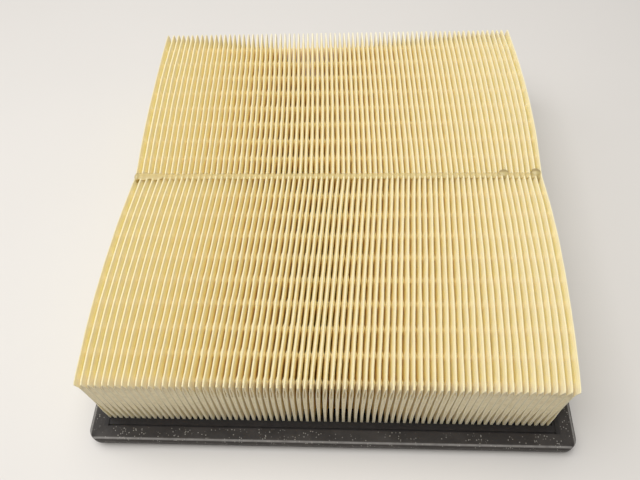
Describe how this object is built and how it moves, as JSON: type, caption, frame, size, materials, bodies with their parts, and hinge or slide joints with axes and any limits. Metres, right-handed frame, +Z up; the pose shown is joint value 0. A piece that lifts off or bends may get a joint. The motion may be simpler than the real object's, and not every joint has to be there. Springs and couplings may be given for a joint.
{
  "type": "engine air filter",
  "caption": "Deep-pleated paper panel air filter moulded into a soft rectangular frame that seals the air box.",
  "frame": {"origin": "centre of the frame's underside", "axes": "+X across the pleats, +Y along the pleats, +Z up from the frame through the pleats"},
  "size_m": [0.251, 0.274, 0.0582],
  "materials": {
    "filter_paper": "matt cream-yellow embossed filter paper",
    "seam_glue": "cloudy glue line between two layers of paper",
    "bead_glue": "glossy amber hot-melt",
    "frame_rubber": "matt charcoal moulded polyurethane"
  },
  "bodies": {
    "root": {"filter_paper": "filter_paper", "front_pleat_seams": "seam_glue", "rear_pleat_seams": "seam_glue", "upper_spacer_bead": "bead_glue", "lower_spacer_bead": "bead_glue", "seal_frame": "frame_rubber"}
  },
  "joints": []
}
